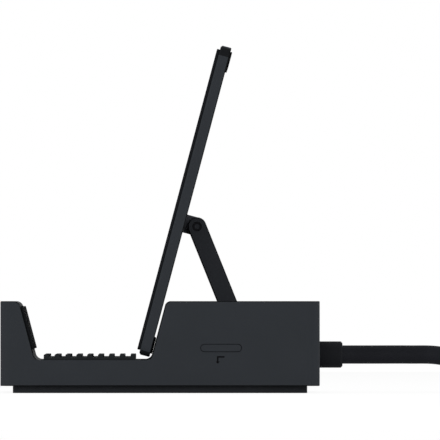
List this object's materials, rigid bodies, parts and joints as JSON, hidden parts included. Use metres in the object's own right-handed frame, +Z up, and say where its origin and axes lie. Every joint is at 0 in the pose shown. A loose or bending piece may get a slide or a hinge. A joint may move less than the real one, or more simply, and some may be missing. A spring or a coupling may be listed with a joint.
{
  "type": "handheld console dock with a folding back plate",
  "caption": "Low dock with a rubber-lined trough for a handheld console, a hinged back plate on a tilting strut, rear sockets and a built-in cord.",
  "frame": {"origin": "centre of the dock's footprint, on the surface it stands on, under the rubber foot", "axes": "+X across the dock, +Y from its front lip to its rear sockets, +Z up"},
  "size_m": [0.13, 0.1944, 0.0979],
  "materials": {
    "housing": "satin, finely textured",
    "cover": "matte",
    "button": "satin",
    "foot_rubber": "matte",
    "lining_rubber": "matte",
    "strut_metal": "black anodised",
    "steel": "turned and polished",
    "board": "solder mask",
    "chip": "moulded",
    "heat_sink": "milled",
    "socket_metal": "plated",
    "socket_plastic": "moulded",
    "header": "moulded",
    "cord_jacket": "satin",
    "plug_plastic": "satin"
  },
  "bodies": {
    "root": {"top_shell": "housing", "bottom_cover": "cover", "rubber_foot": "foot_rubber", "trough_mat": "lining_rubber", "lip_pad": "lining_rubber", "lower_hinge_pin": "steel", "lower_washers": "steel", "cover_screws": "steel", "board_screws": "steel", "main_board": "board", "hub_chip": "chip", "power_chip": "chip", "button_switch": "chip", "heat_sink": "heat_sink", "usb_a_socket_left": "socket_metal", "usb_a_socket_right": "socket_metal", "video_socket": "socket_metal", "usb_c_socket": "socket_metal", "plug_tip": "socket_metal", "network_socket": "socket_plastic", "cord_header": "header", "strain_relief": "cord_jacket", "cord_lead": "cord_jacket", "cord_coil": "cord_jacket", "cord_tail": "cord_jacket", "plug_grip": "plug_plastic"},
    "button": {"mode_button": "button"},
    "strut": {"strut_arm": "strut_metal", "upper_hinge_pin": "steel", "upper_washers": "steel"},
    "plate": {"hinge_bracket": "strut_metal", "bracket_screws": "steel", "back_plate": "housing", "front_pad": "lining_rubber", "upper_bumper": "lining_rubber", "lower_bumper": "lining_rubber"}
  },
  "joints": [
    {"name": "mode_button_press", "type": "slide", "parent": "root", "child": "button", "axis": [-1, 0, 0], "range_m": [0, 0.0004], "stiffness_N_per_m": 800},
    {"name": "strut_pivot", "type": "hinge", "parent": "root", "child": "strut", "pos_m": [0, 0.02138, 0.0202], "axis": [1, 0, 0], "range_deg": [-25, 0]},
    {"name": "plate_pivot", "type": "hinge", "parent": "strut", "child": "plate", "pos_m": [0, 0.01056, 0.04711], "axis": [1, 0, 0], "range_deg": [-90, 0]}
  ]
}
